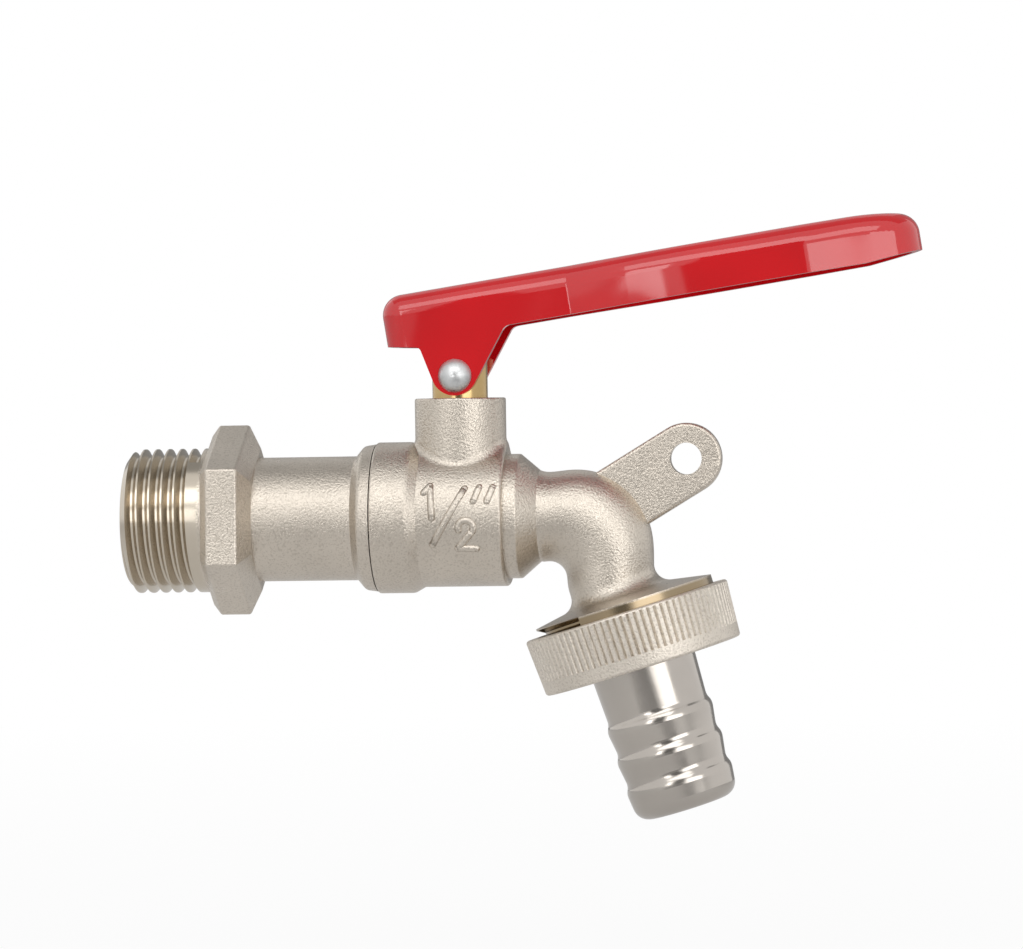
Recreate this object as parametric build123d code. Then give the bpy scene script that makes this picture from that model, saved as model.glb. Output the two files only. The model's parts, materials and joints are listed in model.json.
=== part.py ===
from build123d import *
import os
from math import acos, atan2, cos, hypot, pi, radians, sin, sqrt, tan

# Lockable garden tap with a ball valve, sizes in millimetres and angles in degrees.
# +X is the way the water flows in, +Z is up. The origin is on the inlet axis at the
# back of the hexagon, where the tap stops against its fitting.

# Pipe threads, 14 to the inch
thread_pitch = 1.8143
thread_depth = 1.162
thread_crest = 0.26
thread_root = 0.3
thread_end_chamfer = 1.0
thread_end_drop = 0.2
thread_start = 102.0
inlet_thread_radius = 10.4775
outlet_thread_radius = 13.2205

# Clearances
running_gap = 0.05
screw_gap = 0.05
union_gap = 0.13
seam_gap = 0.12
shoulder_side_gap = 0.2
oring_side_gap = 0.15

# Inlet connector
inlet_thread_length = 12.05
inlet_thread_plain = 1.5
inlet_bore_radius = 6.4
hex_across_flats = 24.0
hex_turn = -3.0
hex_back_draft = 1.1
hex_land = 4.3
hex_front_draft = 1.7
hex_back_across = 21.4
hex_rounding = 0.5
tube_radius = 9.0
tube_length = 14.3
collar_length = 2.9
collar_overhang = 0.25
collar_cone = 1.2
collar_blend = 0.15
collar_rounding = 1.0

# Ball and seats
ball_radius = 8.0
ball_bore_radius = 4.6
ball_to_body_face = 12.15
seat_rim = 0.5
seat_thickness = 3.0
seat_lip = 0.85
seat_hold = 1.2
slot_width = 3.0
slot_depth = 2.5

# Valve body
cavity_gap = 0.4
insert_step = 0.6
barrel_wall = 1.7
ring_wall = 1.95
ring_length = 5.2
ring_step = 1.5
barrel_setback = 0.55
shoulder_wall = 1.45
shoulder_length = 1.85
shoulder_cone = 2.8
edge_rounding = 0.45
ring_edge = 0.3
neck_edge = 0.3
neck_radius = 6.6
neck_height = 17.2
neck_blend = 1.4
elbow_from_ball = 19.45
pipe_radius = 6.6
waterway_radius = 4.4
outlet_lean = 16.75
elbow_outer_radius = 10.8
elbow_inner_radius = 2.5
elbow_outer_swell = 0.45
elbow_steps = 6
flange_start = 11.95
flange_blend = 2.2
flange_rise = 1.2
outlet_thread_length = 5.1
outlet_thread_plain = 0.75
outlet_mouth_wall = 2.4

# Lock lug on the elbow
lug_reach = 15.45
lug_angle = 31.0
lug_width = 10.3
lug_thickness = 2.8
lug_hole_radius = 2.3
lug_rounding = 0.5

# Stem and its seals
stem_radius = 4.0
stem_shoulder_radius = 5.0
stem_shoulder_height = 1.3
stem_blade_length = 7.0
stem_top_over_pin = 3.2
stem_top_chamfer = 0.6
thrust_washer_height = 0.8
thrust_washer_level = 9.7
oring_section = 1.3
oring_land = 2.4
oring_spacing = 2.8

# Lever, drawn level with the pin at its origin
pin_over_neck = 3.2
lobe_gap = 0.35
lobe_rise = 0.5
lever_tilt = 8.6
lock_tilt = -46.0
lever_wall = 1.5
lever_top = 12.9
lever_edge = 5.9
lever_end_edge = 6.85
lever_edge_rise_run = 8.05
lever_nose = 9.3
lever_reach = 68.75
lever_rounding = 3.0
lever_droop_run = 10.05
lever_droop_radius = 48.0
clevis_side_gap = 0.15
clevis_front = 8.3
clevis_back = 4.4
clevis_back_edge = 4.85
nose_edge = 6.0
clevis_blend = 1.6
nose_corner = 3.2
flare_start = 18.0
flare_end = 32.2
flare_bend = 1.0
flare_crown = 54.0
grip_half_width = 8.6
taper_run = 9.5
taper_crown = 8.0
tip_run = 6.75
tip_half_width = 6.9
lug_slot_gap = 0.7
lug_slot_side_gap = 1.1

# Lever rivet
rivet_radius = 1.5
rivet_head_radius = 2.42
rivet_head_height = 1.5

# Union nut
nut_gap_to_flange = 1.25
nut_top_radius = 15.2
nut_bottom_radius = 14.65
nut_lip = 1.5
nut_rounding = 0.45
knurl_count = 94
knurl_depth = 0.3
knurl_share = 0.5
knurl_top_margin = 0.35
knurl_bottom_margin = 2.1

# Hose tail and washer
washer_height = 2.0
washer_bore_radius = 8.0
tail_collar_radius = 11.8
tail_collar_height = 1.0
tail_radius = 7.75
tail_wall = 0.9
tail_length = 21.4
tail_waist_radius = 7.4
barb_radius = 7.85
barb_count = 3
barb_first = 7.6
barb_spacing = 4.65
barb_rise = 1.0
barb_land = 0.7
barb_rounding = 1.8
tail_end_rounding = 2.2
tail_mouth_lip = 0.4

# Ball valve along the inlet axis
hex_length = hex_back_draft + hex_land + hex_front_draft
body_face = hex_length + tube_length + collar_length + seam_gap
ball_centre = body_face + ball_to_body_face
seat_radius = ball_radius - seat_rim
seat_pocket_radius = seat_radius + running_gap
seat_back = sqrt(ball_radius**2 - ball_bore_radius**2) + seat_lip
seat_face = seat_back - seat_thickness
connector_end = ball_centre - seat_back + seat_hold
pocket_floor = ball_centre + seat_back
cavity_radius = ball_radius + cavity_gap
insert_bore_radius = cavity_radius + insert_step
insert_radius = insert_bore_radius - screw_gap
barrel_radius = cavity_radius + barrel_wall
ring_radius = insert_bore_radius + ring_wall
barrel_end = pocket_floor - barrel_setback
shoulder_radius = seat_pocket_radius + shoulder_wall
cone_end = barrel_end + shoulder_length + shoulder_cone
elbow_x = ball_centre + elbow_from_ball
elbow_turn = 90 - outlet_lean

# Stem heights
bore_radius = stem_radius + running_gap
washer_top = thrust_washer_level + thrust_washer_height
counterbore_radius = stem_shoulder_radius + shoulder_side_gap
shoulder_top = thrust_washer_level - running_gap
shoulder_bottom = shoulder_top - stem_shoulder_height
groove_radius = stem_radius - oring_section - running_gap
groove_height = oring_section + 2 * oring_side_gap
groove_levels = [washer_top + oring_land, washer_top + oring_land + oring_spacing]
pin_height = neck_height + pin_over_neck
stem_top = pin_height + stem_top_over_pin
lobe_radius = pin_over_neck - lobe_gap + lobe_rise
clevis_half = stem_radius + clevis_side_gap + lever_wall
lever_edge_rise_start = lever_reach - lever_edge_rise_run
lever_droop_start = lever_reach - lever_droop_run
taper_end = lever_reach - tip_run
taper_start = taper_end - taper_run

# Outlet axis, measured from the elbow's corner
outlet_thread_start = flange_start + flange_rise
outlet_end = outlet_thread_start + outlet_thread_length
nut_top = outlet_thread_start + nut_gap_to_flange
collar_top = outlet_end + washer_height
collar_bottom = collar_top + tail_collar_height
lip_top = collar_bottom + running_gap
nut_bottom = lip_top + nut_lip
nut_bore_radius = outlet_thread_radius + union_gap
nut_wall = min(nut_top_radius, nut_bottom_radius) - nut_bore_radius
nut_edge_rounding = min(nut_rounding, nut_wall / 2)
knurl_cut = min(knurl_depth, nut_wall / 2)
nut_height_along = hypot(nut_bottom - nut_top, nut_top_radius - nut_bottom_radius)
mouth_radius = outlet_thread_radius - thread_depth - outlet_mouth_wall
tail_bore_radius = tail_waist_radius - tail_wall
tail_end = nut_bottom + tail_length
tail_mouth_radius = tail_waist_radius - tail_end_rounding - tail_mouth_lip

# Frames whose Z runs along each axis of the tap
inlet_frame = Plane(origin=(0, 0, 0), x_dir=(0, 0, 1), z_dir=(1, 0, 0))
ball_frame = Plane(origin=(ball_centre, 0, 0), x_dir=(1, 0, 0), z_dir=(0, 0, 1))
outlet_way = Vector(sin(radians(outlet_lean)), 0, -cos(radians(outlet_lean)))
outlet_side = Vector(cos(radians(outlet_lean)), 0, sin(radians(outlet_lean)))
outlet_frame = Plane(origin=(elbow_x, 0, 0), x_dir=outlet_side, z_dir=outlet_way)
side_frame = Plane(origin=(0, 0, 0), x_dir=(1, 0, 0), z_dir=(0, -1, 0))
lever_place = Location((ball_centre, 0, pin_height)) * Rot(0, -lever_tilt, 0)

# The lug's hole, seen from the pin with the lever tilted down to its lock
lug_way = Vector(cos(radians(lug_angle)), 0, sin(radians(lug_angle)))
lug_hole_x = elbow_x + lug_reach * lug_way.X
lug_hole_z = lug_reach * lug_way.Z
lug_from_pin = hypot(lug_hole_x - ball_centre, lug_hole_z - pin_height)
lug_bearing = atan2(lug_hole_z - pin_height, lug_hole_x - ball_centre) - radians(lock_tilt)
lug_stand = radians(lug_angle - lock_tilt)
web_under = lever_top - lever_wall
lug_run = lug_from_pin * cos(lug_bearing) - (lug_from_pin * sin(lug_bearing) - web_under) / tan(lug_stand)
lug_slot_start = lug_run - lug_width / 2 / sin(lug_stand) - lug_slot_gap
lug_slot_end = sqrt((lug_from_pin + lug_width / 2) ** 2 - web_under**2) + lug_slot_gap


def rounded(corners):
    """Flat face from corners given as (x, y) or (x, y, rounding)."""
    face = make_face(Polyline(*[corner[:2] for corner in corners], close=True))
    for corner in corners:
        if len(corner) == 3:
            point = Vector(corner[0], corner[1])
            face = fillet(face.vertices().sort_by_distance(point)[0], corner[2])
    return face


def turned(corners):
    """Solid turned about Z from corners given as (radius, height) or with a rounding."""
    return revolve(Plane.XZ * rounded(corners), Axis.Z)


def rod(radius, bottom, top):
    """Round bar about Z between two heights."""
    return Pos(0, 0, bottom) * Cylinder(radius, top - bottom, align=(Align.CENTER, Align.CENTER, Align.MIN))


def thread_groove(radius, length):
    """Right-handed helical groove of a male thread about Z, from its free end at Z 0."""
    over = thread_crest / 2
    half_root = thread_root / 2
    half_mouth = (thread_pitch - thread_crest) / 2
    half_over = half_mouth + over * (half_mouth - half_root) / thread_depth
    root_radius = radius - thread_depth
    groove = make_face(
        Polyline(
            (0, -half_root),
            (thread_depth + over, -half_over),
            (thread_depth + over, half_over),
            (0, half_root),
            close=True,
        )
    )
    across = Plane(origin=(root_radius, 0, 0), x_dir=(1, 0, 0), z_dir=(0, -1, 0))
    path = Helix(thread_pitch, length + thread_pitch, root_radius)
    cut = sweep(across * groove, path=path, is_frenet=True)
    return Pos(0, 0, -thread_pitch) * Rot(0, 0, thread_start) * cut


def hexagon(across, height):
    """Hexagon face at a height, with a flat to each side of the tap."""
    return Pos(0, 0, height) * RegularPolygon(across / 2, 6, major_radius=False, rotation=hex_turn)


def make_inlet_connector():
    """Threaded insert with a drafted hexagon, a tube and a collar against the body."""
    hex_front = hex_back_draft + hex_land
    nut_form = loft([hexagon(hex_back_across, 0), hexagon(hex_across_flats, hex_back_draft)], ruled=True)
    nut_form += extrude(hexagon(hex_across_flats, hex_back_draft), hex_land)
    nut_form += loft([hexagon(hex_across_flats, hex_front), hexagon(2 * tube_radius, hex_length)], ruled=True)
    ridges = [edge for level in nut_form.edges().group_by(Axis.Z)[1:-1] for edge in level]
    nut_form = fillet(ridges, hex_rounding)
    collar_radius = ring_radius - collar_overhang
    tube_end = hex_length + tube_length
    collar_end = tube_end + collar_length
    core = turned([
        (0, -inlet_thread_length),
        (inlet_thread_radius - thread_depth - thread_end_drop, -inlet_thread_length),
        (inlet_thread_radius, thread_end_chamfer - inlet_thread_length),
        (inlet_thread_radius, hex_back_draft),
        (tube_radius, hex_back_draft),
        (tube_radius, tube_end, collar_blend),
        (collar_radius - collar_overhang, tube_end + collar_cone, collar_rounding),
        (collar_radius, collar_end),
        (insert_radius, collar_end),
        (insert_radius, connector_end),
        (0, connector_end),
    ])
    groove = thread_groove(inlet_thread_radius, inlet_thread_length - inlet_thread_plain)
    core -= Pos(0, 0, -inlet_thread_length) * groove
    bore = turned([
        (0, -inlet_thread_length),
        (inlet_bore_radius, -inlet_thread_length),
        (inlet_bore_radius, collar_end),
        (ball_bore_radius, connector_end - seat_hold),
        (seat_pocket_radius, connector_end - seat_hold),
        (seat_pocket_radius, connector_end),
        (0, connector_end),
    ])
    return inlet_frame * (core + nut_form - bore)


def elbow_section(angle):
    """Oval section of the elbow between its outer and inner bends, at an angle of the turn."""
    outer_arm = elbow_outer_radius - pipe_radius
    half_turn = radians(elbow_turn) / 2
    outer_x = elbow_x - outer_arm * tan(half_turn)
    outer_z = -outer_arm
    inner_arm = pipe_radius + elbow_inner_radius
    inner_x = elbow_x - inner_arm * tan(half_turn)
    inner_z = -inner_arm
    way = Vector(sin(radians(angle)), 0, cos(radians(angle)))
    swell = elbow_outer_swell * angle / elbow_turn
    outer = Vector(outer_x, 0, outer_z) + way * (elbow_outer_radius + swell)
    inner = Vector(inner_x, 0, inner_z) + way * elbow_inner_radius
    along = outer - inner
    frame = Plane(origin=(outer + inner) / 2, x_dir=along, z_dir=along.cross(Vector(0, 1, 0)) * -1)
    return frame * Ellipse(along.length / 2, pipe_radius)


def make_elbow():
    """Solid elbow from the barrel's shoulder into the outlet flange."""
    start = inlet_frame * Pos(0, 0, cone_end) * Circle(pipe_radius)
    bends = [elbow_section(elbow_turn * step / elbow_steps) for step in range(elbow_steps + 1)]
    half_swell = elbow_outer_swell / 2
    end = outlet_frame * Pos(half_swell, 0, outlet_thread_start) * Circle(pipe_radius + half_swell)
    return loft([start] + bends + [end])


def make_spout():
    """Solid elbow blended into its coned flange, with the male thread of the outlet."""
    cone_rise = flange_rise / (1 - pipe_radius / outlet_thread_radius)
    flange = turned([
        (0, outlet_thread_start - cone_rise),
        (outlet_thread_radius, outlet_thread_start),
        (outlet_thread_radius, outlet_end - thread_end_chamfer),
        (outlet_thread_radius - thread_depth - thread_end_drop, outlet_end),
        (0, outlet_end),
    ])
    spout = make_elbow() + outlet_frame * flange
    outlet_axis = Axis((elbow_x, 0, 0), outlet_way)
    meeting = spout.edges().filter_by(GeomType.BSPLINE).sort_by(outlet_axis)[-1]
    spout = fillet(meeting, flange_blend)
    groove = thread_groove(outlet_thread_radius, outlet_thread_length - outlet_thread_plain)
    return spout - outlet_frame * Pos(0, 0, outlet_end) * Rot(180, 0, 0) * groove


def make_waterway():
    """The space inside the body, from its open end to the spout's mouth."""
    space = inlet_frame * turned([
        (0, body_face),
        (insert_bore_radius, body_face),
        (insert_bore_radius, connector_end + seam_gap),
        (cavity_radius, connector_end + seam_gap),
        (cavity_radius, ball_centre + seat_face),
        (seat_pocket_radius, ball_centre + seat_face),
        (seat_pocket_radius, pocket_floor),
        (waterway_radius, pocket_floor),
        (waterway_radius, elbow_x),
        (0, elbow_x),
    ])
    space += Pos(elbow_x, 0, 0) * Sphere(waterway_radius)
    space += outlet_frame * turned([
        (0, 0),
        (waterway_radius, 0),
        (waterway_radius, outlet_thread_start - flange_blend),
        (mouth_radius, outlet_thread_start),
        (mouth_radius, outlet_end),
        (0, outlet_end),
    ])
    return space


def make_valve_body():
    """Forged body: end ring, barrel, neck, elbow, lock lug, flange and outlet thread."""
    step_end = body_face + ring_length + ring_step
    body = inlet_frame * rod(barrel_radius, body_face, cone_end)
    body += ball_frame * rod(neck_radius, 0, neck_height)
    body = fillet(body.edges().filter_by(GeomType.BSPLINE), neck_blend)
    body -= inlet_frame * rod(2 * barrel_radius, barrel_end, 2 * cone_end)
    body = fillet(body.edges().filter_by_position(Axis.X, barrel_end, barrel_end), edge_rounding)
    body = fillet(body.edges().filter_by_position(Axis.Z, neck_height, neck_height), neck_edge)
    body += inlet_frame * turned([
        (0, body_face),
        (ring_radius, body_face, ring_edge),
        (ring_radius, body_face + ring_length, ring_step),
        (barrel_radius, step_end),
        (0, step_end),
    ])
    body += inlet_frame * turned([
        (0, ball_centre),
        (shoulder_radius, ball_centre),
        (shoulder_radius, barrel_end + shoulder_length, edge_rounding),
        (pipe_radius, cone_end),
        (0, cone_end),
    ])
    body += make_spout()
    body += make_lug()
    body -= make_waterway()
    body -= ball_frame * turned([
        (0, 0),
        (counterbore_radius, 0),
        (counterbore_radius, washer_top),
        (bore_radius, washer_top),
        (bore_radius, neck_height),
        (0, neck_height),
    ])
    return body


def make_lug():
    """Lock lug: a flat ear with a round end about its padlock hole."""
    ear = Pos(lug_reach / 2, 0) * Rectangle(lug_reach, lug_width)
    ear += Pos(lug_reach, 0) * Circle(lug_width / 2)
    lug = extrude(ear, lug_thickness / 2, both=True)
    sides = lug.faces().sort_by(Axis.Z)
    lug = fillet(sides[0].edges() + sides[-1].edges(), lug_rounding)
    lug -= Pos(lug_reach, 0, -lug_thickness) * rod(lug_hole_radius, 0, 2 * lug_thickness)
    return side_frame * Pos(elbow_x, 0, 0) * Rot(0, 0, lug_angle) * lug


def make_ball():
    """Drilled ball, shut, with a slot across its top for the stem's blade."""
    ball = Sphere(ball_radius) - Rot(90, 0, 0) * rod(ball_bore_radius, -ball_radius, ball_radius)
    slot_height = 2 * slot_depth
    ball -= Pos(0, 0, ball_radius) * Box(2 * ball_radius, slot_width, slot_height)
    return ball_frame * ball


def make_seat(way):
    """Ring seat on one side of the ball, way -1 for the inlet and 1 for the outlet."""
    ring = turned([
        (ball_bore_radius, seat_face),
        (seat_radius, seat_face),
        (seat_radius, seat_back),
        (ball_bore_radius, seat_back),
    ])
    ring -= Sphere(ball_radius + running_gap)
    return Pos(ball_centre, 0, 0) * Rot(0, 90 * way, 0) * ring


def make_stem():
    """Spindle with a blade for the ball, a shoulder, two seal grooves and a pin hole."""
    corners = [
        (0, shoulder_bottom),
        (stem_shoulder_radius, shoulder_bottom),
        (stem_shoulder_radius, shoulder_top),
        (stem_radius, shoulder_top),
    ]
    for level in groove_levels:
        corners += [
            (stem_radius, level - groove_height / 2),
            (groove_radius, level - groove_height / 2),
            (groove_radius, level + groove_height / 2),
            (stem_radius, level + groove_height / 2),
        ]
    corners += [
        (stem_radius, stem_top - stem_top_chamfer),
        (stem_radius - stem_top_chamfer, stem_top),
        (0, stem_top),
    ]
    stem = turned(corners)
    blade_bottom = ball_radius - slot_depth + running_gap
    blade = Box(
        stem_blade_length,
        slot_width - 2 * running_gap,
        shoulder_top - blade_bottom,
        align=(Align.CENTER, Align.CENTER, Align.MIN),
    )
    stem += Pos(0, 0, blade_bottom) * blade
    stem -= Pos(0, 0, pin_height) * Rot(90, 0, 0) * rod(rivet_radius + running_gap, -stem_radius, stem_radius)
    return ball_frame * stem


def make_thrust_washer():
    """Flat washer between the stem's shoulder and the neck."""
    washer = rod(stem_shoulder_radius, thrust_washer_level, washer_top)
    washer -= rod(bore_radius, thrust_washer_level, washer_top)
    return ball_frame * washer


def make_oring(level):
    """Stem seal in its groove."""
    return ball_frame * Pos(0, 0, level) * Torus(stem_radius - oring_section / 2, oring_section / 2)


def lever_plan(inset):
    """Outline of the lever from above, drawn in from its outside by an inset."""
    nose = -lever_nose + inset
    clevis = clevis_half - inset
    grip = grip_half_width - inset
    side = FilletPolyline(
        (nose, 0),
        (nose, clevis),
        (flare_start, clevis),
        (flare_end, grip),
        (taper_start, grip),
        (taper_end, tip_half_width - inset),
        radius=[nose_corner - inset, flare_bend + inset, flare_crown - inset, taper_crown - inset],
    )
    tip = Spline(
        (taper_end, tip_half_width - inset),
        (lever_reach - inset, 0),
        tangents=[(taper_run, tip_half_width - grip_half_width), (0, -1)],
    )
    half = side.edges() + [tip]
    return make_face(half + [mirror(edge, Plane.XZ) for edge in half])


def lever_block(inset):
    """Closed form of the lever, drawn in from its outside by an inset."""
    top = lever_top - inset
    bend = lever_droop_radius - inset
    block = extrude(Pos(0, 0, -lever_top) * lever_plan(inset), lever_top + top)
    droop = Pos(lever_droop_start + bend / 2, top) * Rectangle(bend, bend)
    droop -= Pos(lever_droop_start, top - bend) * Circle(bend)
    block -= extrude(side_frame * droop, 2 * grip_half_width, both=True)
    rim = block.edges().filter_by(lambda edge: edge.center().Z > top - lever_rounding)
    droop_line = block.edges().filter_by(Axis.Y).sort_by(Axis.X)[-1:]
    return fillet(rim - droop_line, lever_rounding - inset)


def lever_side():
    """Side view of the lever's lower edge with the clevis lobe about the pin."""
    front_rise = lever_edge - lobe_rise
    back_rise = clevis_back_edge - lobe_rise
    front_bearing = atan2(front_rise, clevis_front) - acos(lobe_radius / hypot(clevis_front, front_rise))
    back_bearing = atan2(back_rise, -clevis_back) + acos(lobe_radius / hypot(clevis_back, back_rise))
    over = lever_wall
    side = rounded([
        (-lever_nose - over, lever_top + over),
        (lever_reach + over, lever_top + over),
        (lever_reach + over, lever_end_edge),
        (lever_edge_rise_start, lever_edge),
        (clevis_front, lever_edge, clevis_blend),
        (lobe_radius * cos(front_bearing), lobe_radius * sin(front_bearing) + lobe_rise),
        (lobe_radius * cos(back_bearing), lobe_radius * sin(back_bearing) + lobe_rise),
        (-clevis_back, clevis_back_edge, clevis_blend / 2),
        (-lever_nose - over, nose_edge),
    ])
    return side + Pos(0, lobe_rise) * Circle(lobe_radius)


def make_lever():
    """Pressed channel lever with a clevis, a pin hole and the slot for the lock lug."""
    outline = extrude(side_frame * lever_side(), 2 * grip_half_width, both=True)
    lever = (lever_block(0) & outline) - lever_block(lever_wall)
    lever -= Rot(90, 0, 0) * rod(rivet_radius + running_gap, -2 * clevis_half, 2 * clevis_half)
    slot = Pos((lug_slot_start + lug_slot_end) / 2, 0) * SlotOverall(
        lug_slot_end - lug_slot_start, lug_thickness + 2 * lug_slot_side_gap
    )
    lever -= extrude(slot, 2 * lever_top)
    return lever_place * lever


def make_rivet():
    """Pivot pin with a domed head at each end."""
    shank_end = clevis_half + running_gap
    dome_radius = (rivet_head_radius**2 + rivet_head_height**2) / (2 * rivet_head_height)
    dome = Pos(0, 0, shank_end + rivet_head_height - dome_radius) * Sphere(dome_radius)
    dome &= rod(2 * rivet_head_radius, shank_end, shank_end + 2 * rivet_head_height)
    rivet = rod(rivet_radius, -shank_end, shank_end) + dome + Rot(180, 0, 0) * dome
    return Pos(ball_centre, 0, pin_height) * Rot(90, 0, 0) * rivet


def make_union_nut():
    """Union nut with a straight knurl and a lip that holds the hose tail."""
    nut = turned([
        (nut_bore_radius, nut_top),
        (nut_top_radius, nut_top, nut_edge_rounding),
        (nut_bottom_radius, nut_bottom, nut_edge_rounding),
        (tail_radius + union_gap, nut_bottom),
        (tail_radius + union_gap, lip_top),
        (nut_bore_radius, lip_top),
    ])
    slope = Vector(nut_bottom_radius - nut_top_radius, 0, nut_bottom - nut_top).normalized()
    start = Vector(nut_top_radius, 0, nut_top) + slope * knurl_top_margin
    outward = Vector(slope.Z, 0, -slope.X)
    half_width = knurl_share * pi * nut_bottom_radius / knurl_count
    groove = make_face(
        Polyline((-knurl_cut, 0), (knurl_cut, -2 * half_width), (knurl_cut, 2 * half_width), close=True)
    )
    knurl_length = nut_height_along - knurl_top_margin - knurl_bottom_margin
    cutter = extrude(Plane(origin=start, x_dir=outward, z_dir=slope) * groove, knurl_length)
    nut -= [place * cutter for place in PolarLocations(0, knurl_count)]
    return outlet_frame * nut


def make_hose_tail():
    """Hose tail with a collar, three barbs and a rolled end."""
    corners = [
        (tail_bore_radius, collar_top),
        (tail_collar_radius, collar_top),
        (tail_collar_radius, collar_bottom),
        (tail_radius, collar_bottom),
    ]
    for barb in range(barb_count):
        crest = nut_bottom + barb_first + barb * barb_spacing
        corners += [
            (tail_waist_radius, crest - barb_rise, barb_rounding),
            (barb_radius, crest, barb_rounding),
            (barb_radius, crest + barb_land),
        ]
    corners += [
        (tail_waist_radius, tail_end, tail_end_rounding),
        (tail_mouth_radius, tail_end),
        (tail_mouth_radius, tail_end - tail_wall),
        (tail_bore_radius, tail_end - tail_wall, tail_end_rounding - tail_wall),
    ]
    return outlet_frame * turned(corners)


def make_tail_washer():
    """Rubber washer between the spout and the hose tail."""
    washer = rod(tail_collar_radius, outlet_end, collar_top)
    washer -= rod(washer_bore_radius, outlet_end, collar_top)
    return outlet_frame * washer


def make_parts():
    """Every piece of the tap by name."""
    return {
        "valve_body": make_valve_body(),
        "inlet_connector": make_inlet_connector(),
        "ball": make_ball(),
        "inlet_seat": make_seat(-1),
        "outlet_seat": make_seat(1),
        "stem": make_stem(),
        "stem_thrust_washer": make_thrust_washer(),
        "stem_oring_lower": make_oring(groove_levels[0]),
        "stem_oring_upper": make_oring(groove_levels[1]),
        "lever": make_lever(),
        "lever_rivet": make_rivet(),
        "union_nut": make_union_nut(),
        "hose_tail": make_hose_tail(),
        "tail_washer": make_tail_washer(),
    }


os.makedirs("parts", exist_ok=True)
for name, solid in make_parts().items():
    export_step(solid, f"parts/{name}.step")
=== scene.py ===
import json
import math

import bmesh
import bpy
from bpy.props import FloatProperty, FloatVectorProperty, PointerProperty
from mathutils import Matrix, Vector


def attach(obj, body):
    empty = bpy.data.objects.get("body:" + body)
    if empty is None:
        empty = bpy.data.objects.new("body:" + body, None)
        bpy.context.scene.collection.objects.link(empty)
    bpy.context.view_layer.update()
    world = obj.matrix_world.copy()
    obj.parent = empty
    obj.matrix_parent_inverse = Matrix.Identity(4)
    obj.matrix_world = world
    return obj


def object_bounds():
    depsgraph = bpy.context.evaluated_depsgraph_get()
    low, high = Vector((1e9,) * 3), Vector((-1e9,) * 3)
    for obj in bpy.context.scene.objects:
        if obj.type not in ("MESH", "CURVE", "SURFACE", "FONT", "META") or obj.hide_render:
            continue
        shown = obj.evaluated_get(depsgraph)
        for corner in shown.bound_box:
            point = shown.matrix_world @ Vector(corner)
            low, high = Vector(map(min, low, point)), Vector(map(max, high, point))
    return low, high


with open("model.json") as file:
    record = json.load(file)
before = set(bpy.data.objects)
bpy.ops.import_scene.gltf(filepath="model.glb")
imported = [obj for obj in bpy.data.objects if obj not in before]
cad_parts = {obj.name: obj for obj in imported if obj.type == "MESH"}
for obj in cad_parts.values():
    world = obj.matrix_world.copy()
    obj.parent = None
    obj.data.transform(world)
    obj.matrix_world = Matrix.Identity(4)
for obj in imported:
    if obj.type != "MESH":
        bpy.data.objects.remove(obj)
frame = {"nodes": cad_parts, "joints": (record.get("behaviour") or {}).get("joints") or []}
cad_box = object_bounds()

bl_info = {
    "name": "Garden Tap Finish",
    "version": (1, 0, 0),
    "blender": (4, 5, 0),
    "location": "View3D > Sidebar > Garden Tap",
    "description": "Finishes a lockable ball-valve garden tap and sets its studio",
    "category": "Object",
}

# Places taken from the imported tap
joints = {joint["name"]: joint for joint in frame["joints"]}
stem_x = joints["lever_turn"]["pos_m"][0]
outlet_way = Vector(joints["nut_turn"]["axis"])
outlet_point = Vector(joints["nut_turn"]["pos_m"])
lowest = cad_box[0][2]

# From the union nut's pivot back to the flange, along the spout
flange_setback = 0.0055


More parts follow.
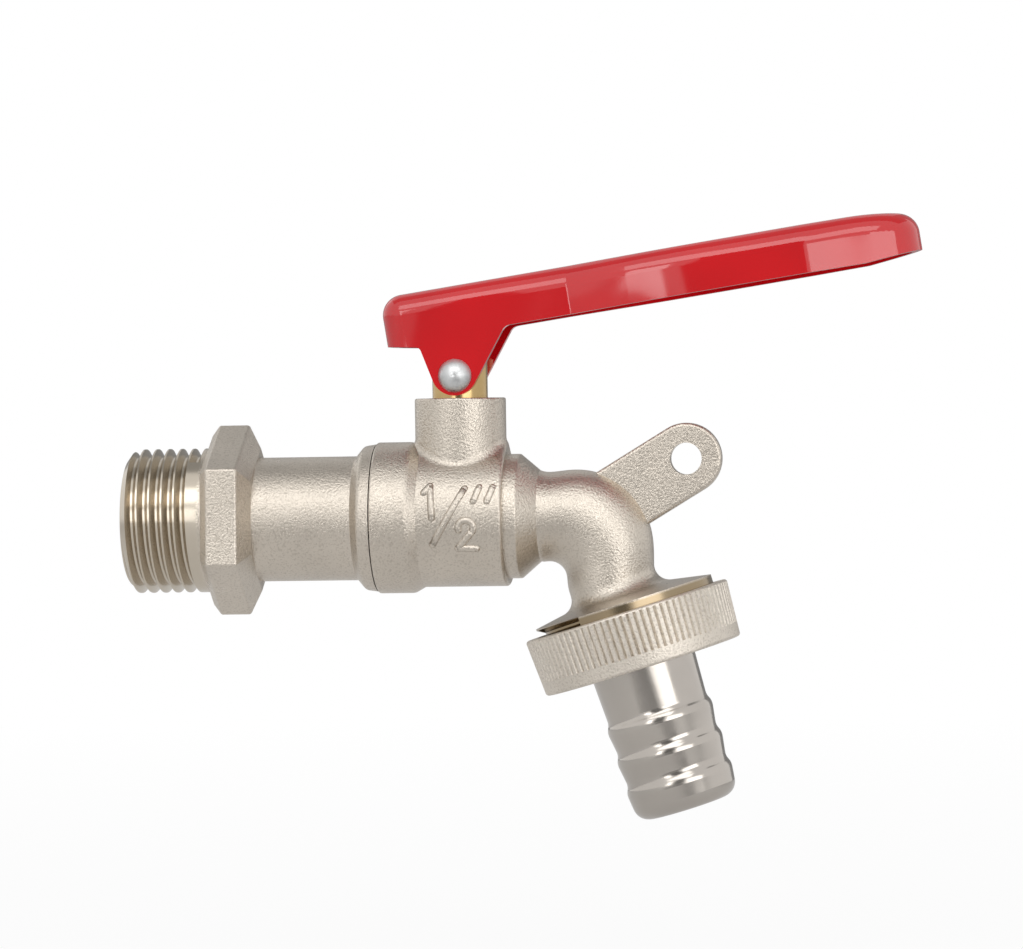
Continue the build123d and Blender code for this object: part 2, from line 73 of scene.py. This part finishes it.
class TapFinishes(bpy.types.PropertyGroup):
    """Colours and textures of the tap's metals, paint, plastic and rubber."""

    nickel: FloatVectorProperty(
        name="Forged nickel", description="Satin nickel plate on the forged pieces",
        subtype="COLOR", size=3, min=0, max=1, default=(0.65, 0.588, 0.51))
    nickel_pale: FloatVectorProperty(
        name="Nut nickel", description="Paler nickel plate on the union nut",
        subtype="COLOR", size=3, min=0, max=1, default=(0.74, 0.68, 0.60))
    # Painted shade: a darker colour laid into the low pits of the blasted grain
    pit_shade: FloatVectorProperty(
        name="Grain pits", description="Shade in the pits of the blasted grain",
        subtype="COLOR", size=3, min=0, max=1, default=(0.33, 0.29, 0.24))
    inlet_gold: FloatVectorProperty(
        name="Inlet thread", description="Thin plate on the inlet thread, where the brass shows through",
        subtype="COLOR", size=3, min=0, max=1, default=(0.57, 0.51, 0.425))
    spout_gold: FloatVectorProperty(
        name="Spout thread", description="Worn plate on the spout thread, browner than the inlet's",
        subtype="COLOR", size=3, min=0, max=1, default=(0.32, 0.25, 0.16))
    tail_bright: FloatVectorProperty(
        name="Bright nickel", description="Smooth nickel plate on the hose tail",
        subtype="COLOR", size=3, min=0, max=1, default=(0.51, 0.472, 0.43))
    brass: FloatVectorProperty(
        name="Turned brass", description="Bare brass of the stem",
        subtype="COLOR", size=3, min=0, max=1, default=(0.58, 0.41, 0.19))
    zinc: FloatVectorProperty(
        name="Zinc plate", description="Bluish white plate on the rivet",
        subtype="COLOR", size=3, min=0, max=1, default=(0.70, 0.71, 0.71))
    red: FloatVectorProperty(
        name="Red coat", description="Gloss coating on the lever",
        subtype="COLOR", size=3, min=0, max=1, default=(0.60, 0.004, 0.008))
    chrome: FloatVectorProperty(
        name="Ball chrome", description="Polished plate on the ball",
        subtype="COLOR", size=3, min=0, max=1, default=(0.72, 0.72, 0.73))
    seat_white: FloatVectorProperty(
        name="Seat white", description="White plastic of the seats and the thrust washer",
        subtype="COLOR", size=3, min=0, max=1, default=(0.82, 0.82, 0.79))
    rubber: FloatVectorProperty(
        name="Seal rubber", description="Black rubber of the seals",
        subtype="COLOR", size=3, min=0, max=1, default=(0.022, 0.022, 0.023))
    grain: FloatProperty(
        name="Blast grain", description="Size of one grain of the blasted surface",
        unit="LENGTH", default=0.0003, min=0.0001, max=0.002)
    grain_depth: FloatProperty(
        name="Grain depth", description="Depth of the blasted grain",
        unit="LENGTH", default=0.00011, min=0, max=0.0005)
    patch: FloatProperty(
        name="Plate patches", description="Size of the darker patches in the forged plate",
        unit="LENGTH", default=0.012, min=0.001, max=0.1)
    smudge: FloatProperty(
        name="Smudges", description="Size of the smoother and duller places in the forged plate",
        unit="LENGTH", default=0.004, min=0.001, max=0.1)
    wave: FloatProperty(
        name="Coat waves", description="Size of one wave in the lever's coat",
        unit="LENGTH", default=0.017, min=0.001, max=0.1)
    wave_depth: FloatProperty(
        name="Wave depth", description="Depth of the waves in the lever's coat",
        unit="LENGTH", default=0.001, min=0, max=0.005)


class PipeMark(bpy.types.PropertyGroup):
    """Raised pipe-size mark cast on the front of the barrel."""

    barrel_radius: FloatProperty(
        name="Barrel radius", description="Radius of the barrel that carries the mark",
        unit="LENGTH", default=0.0101)
    stroke: FloatProperty(
        name="Stroke radius", description="Radius of the rounded strokes",
        unit="LENGTH", default=0.0006)
    sink: FloatProperty(
        name="Sink", description="How far the middle of a stroke lies under the barrel's surface",
        unit="LENGTH", default=0.0003)


class TapStudio(bpy.types.PropertyGroup):
    """Camera, lamps, floor and flags."""

    azimuth: FloatProperty(
        name="Azimuth", description="Camera's turn about the tap from the front",
        subtype="ANGLE", default=math.radians(6.844))
    elevation: FloatProperty(
        name="Elevation", description="Camera's height angle",
        subtype="ANGLE", default=math.radians(1.292))
    roll: FloatProperty(
        name="Roll", description="Turn of the picture against the clock",
        subtype="ANGLE", default=math.radians(0.944))
    distance: FloatProperty(
        name="Distance", description="Camera's distance from its aim",
        unit="LENGTH", default=0.65385)
    focal: FloatProperty(
        name="Focal length", description="Focal length in picture widths", default=4.4194)
    aim_x: FloatProperty(
        name="Aim", description="Where the camera aims along the inlet axis",
        unit="LENGTH", default=0.045)
    shift_x: FloatProperty(
        name="Shift across", description="Sideways shift in picture widths", default=-0.00835)
    shift_y: FloatProperty(
        name="Shift up", description="Upward shift in picture widths", default=0.0406)
    floor_drop: FloatProperty(
        name="Floor drop", description="Height of the tap's lowest point over the floor",
        unit="LENGTH", default=0.026)
    floor_grey: FloatProperty(
        name="Floor tone", description="Tone of the pale floor", default=0.8, min=0, max=1)
    floor_glow: FloatProperty(
        name="Floor glow", description="Share of the floor near the tap that is plain white",
        default=0.9, min=0, max=1)
    daylight: FloatProperty(
        name="Room light", description="Strength of the soft light from all round", default=0.7)
    front_tone: FloatProperty(
        name="Front flag", description="Tone of the flag that the front mirrors",
        default=0.2, min=0, max=1)
    low_tone: FloatProperty(
        name="Low flag", description="Tone of the flag that the hose tail mirrors",
        default=0.42, min=0, max=1)
    back_tone: FloatProperty(
        name="Back flag", description="Tone of the flag that the upper edges mirror",
        default=0.3, min=0, max=1)
    roof_tone: FloatProperty(
        name="Roof flag", description="Tone of the flag overhead", default=0.38, min=0, max=1)
    top_light: FloatProperty(
        name="Top softbox", description="Brightness of the softbox over the front", default=1.7, min=0)
    left_light: FloatProperty(
        name="Left softbox", description="Brightness of the softbox on the left", default=2.5, min=0)
    right_light: FloatProperty(
        name="Right softbox", description="Brightness of the softbox on the right", default=2.0, min=0)
    back_light: FloatProperty(
        name="Back softbox", description="Brightness of the softbox behind", default=0.35, min=0)


def shader(name, sockets):
    """New material with its principled shader's own sockets set, and that shader."""
    material = bpy.data.materials.new(name)
    material.use_nodes = True
    principled = material.node_tree.nodes["Principled BSDF"]
    for socket, value in sockets.items():
        principled.inputs[socket].default_value = value
    return material, principled


def link(material, start, end):
    """Joins an output socket to an input socket."""
    material.node_tree.links.new(start, end)


def noise(material, size, detail):
    """Noise output on object coordinates, with features of a size in metres."""
    nodes = material.node_tree.nodes
    place = nodes.new("ShaderNodeTexCoord")
    texture = nodes.new("ShaderNodeTexNoise")
    texture.inputs["Scale"].default_value = 1 / size
    texture.inputs["Detail"].default_value = detail
    link(material, place.outputs["Object"], texture.inputs["Vector"])
    return texture.outputs["Fac"]


def spread(material, value, low, high, from_low=0.3, from_high=0.7):
    """Maps a noise value to a range."""
    node = material.node_tree.nodes.new("ShaderNodeMapRange")
    node.inputs["From Min"].default_value = from_low
    node.inputs["From Max"].default_value = from_high
    node.inputs["To Min"].default_value = low
    node.inputs["To Max"].default_value = high
    link(material, value, node.inputs["Value"])
    return node.outputs["Result"]


def mix(material, kind, share, first, second):
    """Mixes two colours or two numbers, each given as a value or an output socket."""
    node = material.node_tree.nodes.new("ShaderNodeMix")
    node.data_type = kind
    link(material, share, node.inputs["Factor"])
    socket_type = {"RGBA": "RGBA", "FLOAT": "VALUE"}[kind]
    ends = [socket for socket in node.inputs if socket.type == socket_type and socket.name in ("A", "B")]
    for socket, value in zip(ends, (first, second)):
        if isinstance(value, bpy.types.NodeSocket):
            link(material, value, socket)
        else:
            socket.default_value = (*value, 1) if kind == "RGBA" else value
    return next(socket for socket in node.outputs if socket.type == socket_type)


def shaded(colour, share):
    """A share of a colour's brightness."""
    return [share * value for value in colour]


def along(material, way, start, end):
    """Zero before start and one after end, measured along a direction through the tap."""
    nodes = material.node_tree.nodes
    place = nodes.new("ShaderNodeTexCoord")
    dot = nodes.new("ShaderNodeVectorMath")
    dot.operation = "DOT_PRODUCT"
    dot.inputs[1].default_value = way
    link(material, place.outputs["Object"], dot.inputs[0])
    return spread(material, dot.outputs["Value"], 0, 1, start, end)


def bump(material, principled, height, depth):
    """Bumps the surface by a height value, and the normals that this gives."""
    node = material.node_tree.nodes.new("ShaderNodeBump")
    node.inputs["Strength"].default_value = 1.0
    node.inputs["Distance"].default_value = depth
    link(material, height, node.inputs["Height"])
    link(material, node.outputs["Normal"], principled.inputs["Normal"])
    return node.outputs["Normal"]


def forged_nickel(name, plate, smoothest=0.27, thread=None):
    """Blasted satin plate, with a smooth thread given as its way, start, fade and colour."""
    finishes = bpy.context.scene.tap_finishes
    material, principled = shader(name, {"Metallic": 1.0})
    patches = spread(material, noise(material, finishes.patch, 3), 0, 1)
    colour = mix(material, "RGBA", patches, plate, shaded(plate, 0.87))
    roughness = spread(material, noise(material, finishes.smudge, 4), smoothest, smoothest + 0.07)
    grain = noise(material, finishes.grain, 4)
    # Painted shade: the grain's low pits are darkened towards the pit colour, following the same grain that
    # bumps the surface
    pit_shade_share = spread(material, grain, 0.4, 0, 0.34, 0.5)
    colour = mix(material, "RGBA", pit_shade_share, colour, finishes.pit_shade)
    if thread:
        way, start, fade, thread_colour = thread
        share = along(material, way, start, start + fade)
        colour = mix(material, "RGBA", share, colour, thread_colour)
        roughness = mix(material, "FLOAT", share, roughness, 0.2)
        grain = mix(material, "FLOAT", share, grain, 0.5)
    link(material, colour, principled.inputs["Base Color"])
    link(material, roughness, principled.inputs["Roughness"])
    bump(material, principled, grain, finishes.grain_depth)
    return material


def mottled(name, colour, dullness, shade, tone_grain, dull_grain, metallic=1.0):
    """Plate, plastic or rubber with darker places, and a dullness between two limits."""
    material, principled = shader(name, {"Metallic": metallic})
    tone = spread(material, noise(material, *tone_grain), 0, 1)
    tint = mix(material, "RGBA", tone, colour, shaded(colour, shade))
    link(material, tint, principled.inputs["Base Color"])
    link(material, spread(material, noise(material, *dull_grain), *dullness), principled.inputs["Roughness"])
    return material


def bright_nickel(name):
    """Smooth nickel plate with faint handling marks."""
    return mottled(name, bpy.context.scene.tap_finishes.tail_bright, (0.13, 0.2), 0.9, (0.009, 3), (0.003, 4))


def plain_metal(name, colour, dullness, shade=0.86):
    """Turned or plated metal with darker scuffs."""
    return mottled(name, colour, dullness, shade, (0.003, 4), (0.0012, 3))


def plain_matt(name, colour, dullness):
    """Plastic or rubber with a faint mottle."""
    return mottled(name, colour, dullness, 0.88, (0.002, 3), (0.001, 2), metallic=0.0)


def red_coat(name):
    """Gloss red coating, thick and slightly wavy."""
    finishes = bpy.context.scene.tap_finishes
    material, principled = shader(name, {
        "Roughness": 0.5,
        "Specular IOR Level": 0.0,
        "Coat Weight": 1.0,
        "Coat IOR": 1.7,
        "Coat Roughness": 0.07,
    })
    tone = spread(material, noise(material, 0.015, 2), 0, 1)
    tint = mix(material, "RGBA", tone, finishes.red, shaded(finishes.red, 0.86))
    link(material, tint, principled.inputs["Base Color"])
    waves = bump(material, principled, noise(material, finishes.wave, 0), finishes.wave_depth)
    link(material, waves, principled.inputs["Coat Normal"])
    return material


def dress(material, *names):
    """Gives CAD nodes one finish."""
    for name in names:
        mesh = frame["nodes"][name].data
        mesh.materials.clear()
        mesh.materials.append(material)


def add_piece(name, mesh_form, material, body):
    """Links a finished bmesh as a piece that rides a body and keeps its place in its mesh."""
    mesh = bpy.data.meshes.new(name)
    mesh_form.to_mesh(mesh)
    mesh_form.free()
    mesh.shade_smooth()
    mesh.materials.append(material)
    piece = bpy.data.objects.new(name, mesh)
    bpy.context.scene.collection.objects.link(piece)
    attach(piece, body)
    return piece


class TAP_OT_forged_pieces(bpy.types.Operator):
    """Finish the valve body, the inlet connector and the union nut"""

    bl_idname = "tap.forged_pieces"
    bl_label = "Forged pieces"

    def execute(self, context):
        finishes = context.scene.tap_finishes
        flange = outlet_point.dot(outlet_way) - flange_setback
        spout_thread = (outlet_way, flange, 0.0004, finishes.spout_gold)
        inlet_thread = ((-1, 0, 0), 0.0, 0.0008, finishes.inlet_gold)
        dress(forged_nickel("body_nickel", finishes.nickel, thread=spout_thread), "valve_body")
        dress(forged_nickel("connector_nickel", finishes.nickel, thread=inlet_thread), "inlet_connector")
        dress(forged_nickel("nut_nickel", finishes.nickel_pale, smoothest=0.42), "union_nut")
        return {"FINISHED"}


class TAP_OT_hose_tail(bpy.types.Operator):
    """Finish the hose tail and its washer"""

    bl_idname = "tap.hose_tail"
    bl_label = "Hose tail"

    def execute(self, context):
        dress(bright_nickel("tail_nickel"), "hose_tail")
        dress(plain_matt("washer_rubber", context.scene.tap_finishes.rubber, (0.55, 0.7)), "tail_washer")
        return {"FINISHED"}


class TAP_OT_lever(bpy.types.Operator):
    """Finish the lever and its rivet"""

    bl_idname = "tap.lever"
    bl_label = "Lever"

    def execute(self, context):
        dress(red_coat("lever_red"), "lever")
        zinc = context.scene.tap_finishes.zinc
        dress(plain_metal("rivet_zinc", zinc, (0.3, 0.46), shade=0.6), "lever_rivet")
        return {"FINISHED"}


class TAP_OT_valve_works(bpy.types.Operator):
    """Finish the stem, ball, seats and seals"""

    bl_idname = "tap.valve_works"
    bl_label = "Valve works"

    def execute(self, context):
        finishes = context.scene.tap_finishes
        plastic = plain_matt("seat_plastic", finishes.seat_white, (0.45, 0.6))
        rubber = plain_matt("seal_rubber", finishes.rubber, (0.5, 0.65))
        dress(plain_metal("stem_brass", finishes.brass, (0.16, 0.28)), "stem")
        dress(plain_metal("ball_chrome", finishes.chrome, (0.06, 0.12)), "ball")
        dress(plastic, "inlet_seat", "outlet_seat", "stem_thrust_washer")
        dress(rubber, "stem_oring_lower", "stem_oring_upper")
        return {"FINISHED"}


def stroke_bar(form, start, end, radius):
    """Rounded bar between two points of the flat mark."""
    start = Vector((*start, 0))
    end = Vector((*end, 0))
    way = end - start
    turn = way.to_track_quat("Z", "Y").to_matrix().to_4x4()
    place = Matrix.Translation((start + end) / 2) @ turn
    made = bmesh.ops.create_cone(
        form, cap_ends=True, segments=14, radius1=radius, radius2=radius, depth=way.length, matrix=place)
    edges = dict.fromkeys(edge for vert in made["verts"] for edge in vert.link_edges)
    sides = [edge for edge in edges if abs(edge.calc_length() - way.length) < radius / 10]
    bmesh.ops.subdivide_edges(form, edges=sides, cuts=6)


def stroke_knob(form, point, radius):
    """Round end or corner of a stroke."""
    bmesh.ops.create_uvsphere(
        form, u_segments=14, v_segments=8, radius=radius, matrix=Matrix.Translation((*point, 0)))


def stroke_arc(form, centre, start, angle, radius):
    """Rounded bar bent about a centre of the flat mark, and the point where it ends."""
    centre = Vector((*centre, 0))
    start = Vector((*start, 0))
    across = Matrix.Rotation(math.pi / 2, 4, start - centre)
    ring = bmesh.ops.create_circle(
        form, cap_ends=False, segments=14, radius=radius, matrix=Matrix.Translation(start) @ across)
    edges = dict.fromkeys(edge for vert in ring["verts"] for edge in vert.link_edges)
    bmesh.ops.spin(
        form, geom=list(edges), cent=centre, axis=(0, 0, 1), angle=angle, steps=18, use_merge=False)
    bmesh.ops.holes_fill(form, edges=[edge for edge in form.edges if edge.is_boundary], sides=0)
    end = centre + Matrix.Rotation(angle, 3, "Z") @ (start - centre)
    return end.x, end.y


class TAP_OT_pipe_mark(bpy.types.Operator):
    """Raise the half-inch pipe-size mark on the barrel"""

    bl_idname = "tap.pipe_mark"
    bl_label = "Pipe-size mark"

    def execute(self, context):
        mark = context.scene.tap_pipe_mark
        form = bmesh.new()
        one_top, one_foot, one_flag = (-0.0034, 0.0049), (-0.0031, 0.0001), (-0.0043, 0.0038)
        slash_foot, slash_top = (-0.0031, -0.0038), (0.0016, 0.0044)
        bow_centre, bow_start, bow_angle = (0.00175, -0.00135), (0.0007, -0.00165), -math.radians(230)
        heel, toe = (0.0005, -0.00445), (0.0032, -0.00455)
        inch_foot, inch_top, inch_lean = 0.00245, 0.00455, 0.0008
        knee = stroke_arc(form, bow_centre, bow_start, bow_angle, mark.stroke)
        bars = [(one_top, one_foot), (one_top, one_flag), (slash_foot, slash_top), (knee, heel), (heel, toe)]
        for left in (0.0029, 0.00485):
            bars.append(((left, inch_foot), (left + inch_lean, inch_top)))
        for start, end in bars:
            stroke_bar(form, start, end, mark.stroke)
        for point in dict.fromkeys([bow_start, *(point for bar in bars for point in bar)]):
            stroke_knob(form, point, mark.stroke)
        bmesh.ops.recalc_face_normals(form, faces=form.faces)
        for vert in form.verts:
            angle = vert.co.y / mark.barrel_radius
            reach = mark.barrel_radius - mark.sink + vert.co.z
            vert.co = (stem_x + vert.co.x, -reach * math.cos(angle), reach * math.sin(angle))
        bmesh.ops.recalc_face_normals(form, faces=form.faces)
        nickel = forged_nickel("mark_nickel", context.scene.tap_finishes.nickel)
        add_piece("pipe_size_mark", form, nickel, "tap")
        return {"FINISHED"}


def plane_piece(name, centre, width, height, facing):
    """Flat stage card, centred at a point and facing a way."""
    form = bmesh.new()
    turn = Vector(facing).to_track_quat("Z", "Y").to_matrix().to_4x4()
    stretch = Matrix.Diagonal((width / 2, height / 2, 1, 1))
    place = Matrix.Translation(centre) @ turn @ stretch
    bmesh.ops.create_grid(form, x_segments=1, y_segments=1, size=1, matrix=place)
    mesh = bpy.data.meshes.new(name)
    form.to_mesh(mesh)
    form.free()
    card = bpy.data.objects.new(name, mesh)
    bpy.context.scene.collection.objects.link(card)
    return card


def way_to(azimuth, elevation):
    """Unit vector from the tap towards an azimuth, right of the front, and an elevation in degrees."""
    turn = math.radians(azimuth)
    rise = math.radians(elevation)
    return Vector((math.sin(turn) * math.cos(rise), -math.cos(turn) * math.cos(rise), math.sin(rise)))


def softbox(name, aim, way, distance, width, height, brightness):
    """Rectangular lamp that points at the aim, with the brightness of its face."""
    lamp = bpy.data.lights.new(name, "AREA")
    lamp.shape = "RECTANGLE"
    lamp.size = width
    lamp.size_y = height
    lamp.energy = brightness * math.pi * width * height
    holder = bpy.data.objects.new(name, lamp)
    holder.location = aim + distance * way
    holder.rotation_euler = way.to_track_quat("Z", "Y").to_euler()
    bpy.context.scene.collection.objects.link(holder)


class TAP_OT_studio(bpy.types.Operator):
    """Set the floor, flags, lamps, world and camera"""

    bl_idname = "tap.studio"
    bl_label = "Studio"

    def execute(self, context):
        studio = context.scene.tap_studio
        self.lay_floor(studio)
        self.hang_flags(studio)
        self.light(studio)
        self.aim_camera(context, studio)
        context.scene.view_settings.view_transform = "Standard"
        return {"FINISHED"}

    def lay_floor(self, studio):
        """Pale floor that shows white to the camera and keeps the tap's shadow."""
        floor = plane_piece("floor", (studio.aim_x, 0, lowest - studio.floor_drop), 12, 12, (0, 0, 1))
        material, principled = shader("floor_white", {"Roughness": 0.9, "Specular IOR Level": 0.0})
        tone = spread(material, noise(material, 0.4, 2), studio.floor_grey, studio.floor_grey + 0.02)
        link(material, tone, principled.inputs["Base Color"])
        nodes = material.node_tree.nodes
        glow = nodes.new("ShaderNodeEmission")
        blend = nodes.new("ShaderNodeMixShader")
        rays = nodes.new("ShaderNodeLightPath")
        place = nodes.new("ShaderNodeTexCoord")
        reach = nodes.new("ShaderNodeVectorMath")
        reach.operation = "LENGTH"
        link(material, place.outputs["Object"], reach.inputs[0])
        fade = nodes.new("ShaderNodeMath")
        fade.operation = "MULTIPLY"
        link(material, rays.outputs["Is Camera Ray"], fade.inputs[0])
        glow_share = spread(material, reach.outputs["Value"], studio.floor_glow, 1, 0.12, 0.6)
        link(material, glow_share, fade.inputs[1])
        link(material, fade.outputs["Value"], blend.inputs[0])
        link(material, principled.outputs["BSDF"], blend.inputs[1])
        link(material, glow.outputs["Emission"], blend.inputs[2])
        link(material, blend.outputs["Shader"], nodes["Material Output"].inputs["Surface"])
        floor.data.materials.append(material)

    def hang_flags(self, studio):
        """Dark flags round the tap, seen only in its reflections."""
        # Each flag's centre, width, height, facing and tone
        flags = {
            "front_flag": ((studio.aim_x + 0.02, -1.1, 0.05), 0.43, 1.1, (0, 1, 0), studio.front_tone),
            "back_flag": ((studio.aim_x, 0.9, 0.9), 1.2, 2.4, (0, -1, 0), studio.back_tone),
            "low_flag": ((0.086, -0.56, lowest - 0.02), 0.18, 0.9, (0, 0, 1), studio.low_tone),
            "roof_flag": ((studio.aim_x, 0.4, 0.9), 1.8, 1.0, (0, 0, -1), studio.roof_tone),
        }
        for name, (centre, width, height, facing, tone) in flags.items():
            flag = plane_piece(name, centre, width, height, facing)
            material, _ = shader(name, {
                "Base Color": (0, 0, 0, 1),
                "Specular IOR Level": 0.0,
                "Emission Color": (1, 1, 1, 1),
                "Emission Strength": tone,
            })
            flag.data.materials.append(material)
            flag.visible_camera = False
            flag.visible_diffuse = False
            flag.visible_shadow = False

    def light(self, studio):
        """Soft room light, white to the camera and in reflections, and softboxes."""
        world = bpy.data.worlds.new("studio_room")
        bpy.context.scene.world = world
        world.use_nodes = True
        nodes = world.node_tree.nodes
        links = world.node_tree.links
        background = nodes["Background"]
        background.inputs["Color"].default_value = (1, 1, 1, 1)
        rays = nodes.new("ShaderNodeLightPath")
        seen = rays.outputs["Is Camera Ray"]
        for name in ("Is Glossy Ray", "Is Transmission Ray"):
            more = nodes.new("ShaderNodeMath")
            more.operation = "MAXIMUM"
            links.new(seen, more.inputs[0])
            links.new(rays.outputs[name], more.inputs[1])
            seen = more.outputs["Value"]
        strength = nodes.new("ShaderNodeMapRange")
        strength.inputs["To Min"].default_value = studio.daylight
        strength.inputs["To Max"].default_value = 1.0
        links.new(seen, strength.inputs["Value"])
        links.new(strength.outputs["Result"], background.inputs["Strength"])
        # Each softbox's way, distance, width, height and brightness
        aim = Vector((studio.aim_x, 0, 0))
        softbox("top_softbox", aim, way_to(-4, 41), 0.95, 0.9, 0.4, studio.top_light)
        softbox("left_softbox", aim, way_to(-20.5, 10), 0.85, 0.17, 0.3, studio.left_light)
        softbox("right_softbox", aim, way_to(36, 8), 0.85, 0.56, 0.32, studio.right_light)
        softbox("back_softbox", aim, way_to(200, 40), 0.8, 0.8, 0.6, studio.back_light)

    def aim_camera(self, context, studio):
        """Camera of the photograph."""
        lens = bpy.data.cameras.new("photo_camera")
        lens.sensor_fit = "HORIZONTAL"
        lens.sensor_width = 36.0
        lens.lens = studio.focal * lens.sensor_width
        lens.shift_x = studio.shift_x
        lens.shift_y = studio.shift_y
        lens.clip_start = 0.01
        back = way_to(math.degrees(studio.azimuth), math.degrees(studio.elevation))
        camera = bpy.data.objects.new("photo_camera", lens)
        camera.location = Vector((studio.aim_x, 0, 0)) + studio.distance * back
        turn = back.to_track_quat("Z", "Y").to_matrix() @ Matrix.Rotation(-studio.roll, 3, "Z")
        camera.rotation_euler = turn.to_euler()
        context.scene.collection.objects.link(camera)
        context.scene.camera = camera


class TAP_PT_sidebar(bpy.types.Panel):
    """Garden tap finishing steps"""

    bl_idname = "TAP_PT_sidebar"
    bl_label = "Garden Tap"
    bl_space_type = "VIEW_3D"
    bl_region_type = "UI"
    bl_category = "Garden Tap"

    def draw(self, context):
        for step in steps:
            self.layout.operator(step.bl_idname)
        for group in (context.scene.tap_finishes, context.scene.tap_pipe_mark, context.scene.tap_studio):
            box = self.layout.box()
            for name in group.__annotations__:
                box.prop(group, name)


steps = (
    TAP_OT_forged_pieces,
    TAP_OT_hose_tail,
    TAP_OT_lever,
    TAP_OT_valve_works,
    TAP_OT_pipe_mark,
    TAP_OT_studio,
)
groups = {"tap_finishes": TapFinishes, "tap_pipe_mark": PipeMark, "tap_studio": TapStudio}
classes = (*groups.values(), *steps, TAP_PT_sidebar)


def register():
    """Registers the classes and hangs the settings on the scene."""
    for cls in classes:
        bpy.utils.register_class(cls)
    for name, group in groups.items():
        setattr(bpy.types.Scene, name, PointerProperty(type=group))


def unregister():
    """Takes the settings and classes away."""
    for name in groups:
        delattr(bpy.types.Scene, name)
    for cls in reversed(classes):
        bpy.utils.unregister_class(cls)


def main():
    """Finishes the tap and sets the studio."""
    register()
    for step in steps:
        area, name = step.bl_idname.split(".")
        getattr(getattr(bpy.ops, area), name)()


if __name__ == "__main__":
    main()
